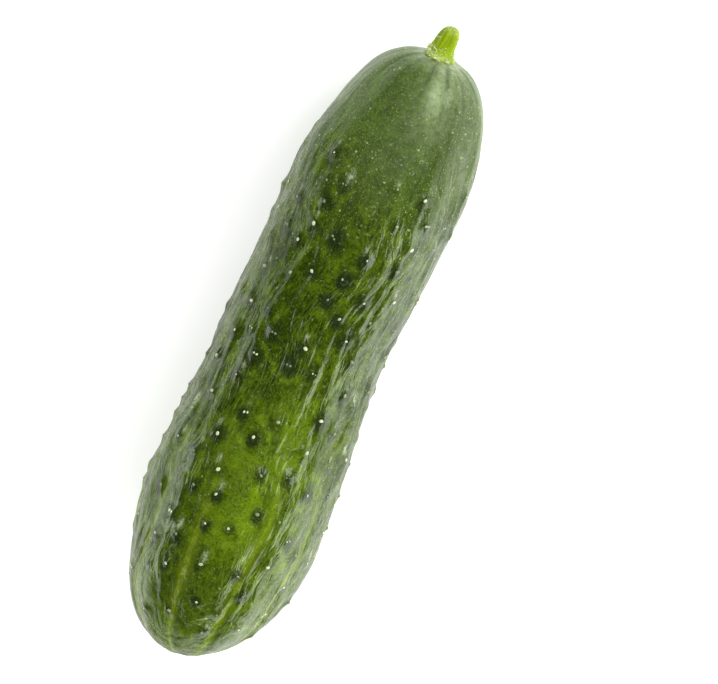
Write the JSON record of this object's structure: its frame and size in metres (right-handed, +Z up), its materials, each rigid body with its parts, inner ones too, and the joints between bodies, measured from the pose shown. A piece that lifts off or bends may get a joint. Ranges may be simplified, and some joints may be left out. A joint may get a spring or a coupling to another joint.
{
  "type": "cucumber",
  "caption": "Whole field cucumber with warty ribbed skin and a short stem stub, lying on a small flat spot under its weight.",
  "frame": {"origin": "on the surface that the cucumber lies on, under the middle of its bounding box", "axes": "+X along the fruit towards the stem end, +Z up"},
  "size_m": [0.1402, 0.0384, 0.0388],
  "materials": {
    "skin": "waxy green cucumber skin, satin, paler in streaks towards the blossom end",
    "stem": "soft yellow-green stem flesh"
  },
  "bodies": {
    "root": {"fruit": "skin", "stem": "stem"}
  },
  "joints": []
}
